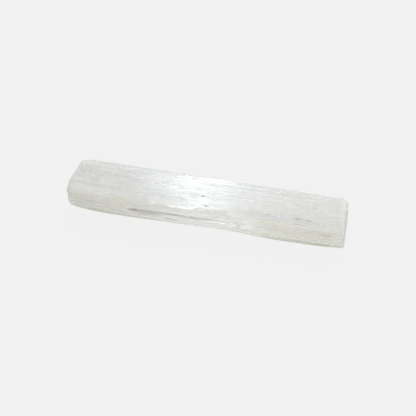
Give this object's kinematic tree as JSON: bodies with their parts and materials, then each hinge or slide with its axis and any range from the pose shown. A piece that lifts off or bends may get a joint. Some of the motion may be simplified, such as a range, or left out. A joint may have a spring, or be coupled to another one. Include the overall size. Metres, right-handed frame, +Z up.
{
  "type": "selenite wand",
  "caption": "Flat-lying cleaved stick of white fibrous selenite with silky lengthwise grooves, a slanted broken end and a square end.",
  "frame": {"origin": "middle of the flat underside's plane, under the middle of the stick's box", "axes": "+X along the fibres towards the square-cut end, -Y towards the side with the long split, +Z up from the surface it rests on"},
  "size_m": [0.152, 0.025, 0.0165],
  "materials": {
    "selenite": "natural silky cleavage with fine lengthwise fibres, translucent white with a warm grey tint at its lower edges"
  },
  "bodies": {
    "root": {"selenite_wand": "selenite"}
  },
  "joints": []
}
